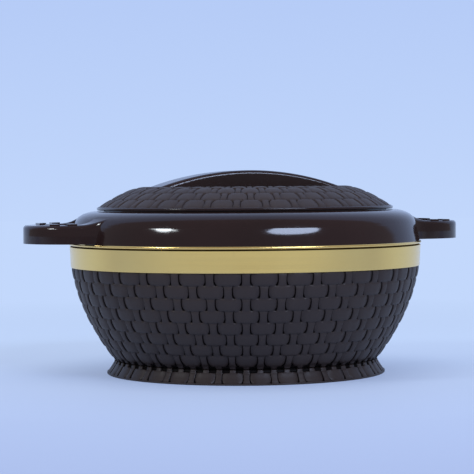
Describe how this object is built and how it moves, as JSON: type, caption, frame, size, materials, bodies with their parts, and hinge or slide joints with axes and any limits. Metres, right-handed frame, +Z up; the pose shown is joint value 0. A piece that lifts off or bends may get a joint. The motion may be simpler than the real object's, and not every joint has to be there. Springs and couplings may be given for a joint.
{
  "type": "insulated casserole",
  "caption": "Round insulated serving casserole with a steel bowl, woven-pattern walls, loop side handles, a gold band and a lift-off domed lid with an arched grip.",
  "frame": {"origin": "centre of the foot, on the surface that it stands on", "axes": "+Z up through the lid, +X and -X through the two side handles, the grip along X"},
  "size_m": [0.332, 0.2614, 0.1498],
  "materials": {
    "woven_plastic": "matte, moulded weave",
    "gloss_plastic": "high gloss, dark brown",
    "inner_plastic": "satin",
    "gold": "metallised, polished gold",
    "steel": "fine brushed stainless steel",
    "screw_steel": "zinc plated",
    "foam": "rigid polyurethane foam",
    "silicone": "matt silicone"
  },
  "bodies": {
    "casserole": {"outer_shell": "woven_plastic", "foot_ring": "woven_plastic", "base_plate": "inner_plastic", "base_screws": "screw_steel", "shell_plug": "inner_plastic", "body_insulation": "foam", "steel_bowl": "steel", "gold_band": "gold", "handle_collar": "gloss_plastic"},
    "lid": {"lid_cover": "woven_plastic", "lid_liner": "gloss_plastic", "lid_insulation": "foam", "lid_seal": "silicone", "lid_grip": "gloss_plastic", "grip_screws": "screw_steel", "lid_plug": "inner_plastic"}
  },
  "joints": [
    {"name": "lid_lift", "type": "slide", "parent": "casserole", "child": "lid", "axis": [0, 0, 1], "range_m": [0, 0.12]}
  ]
}
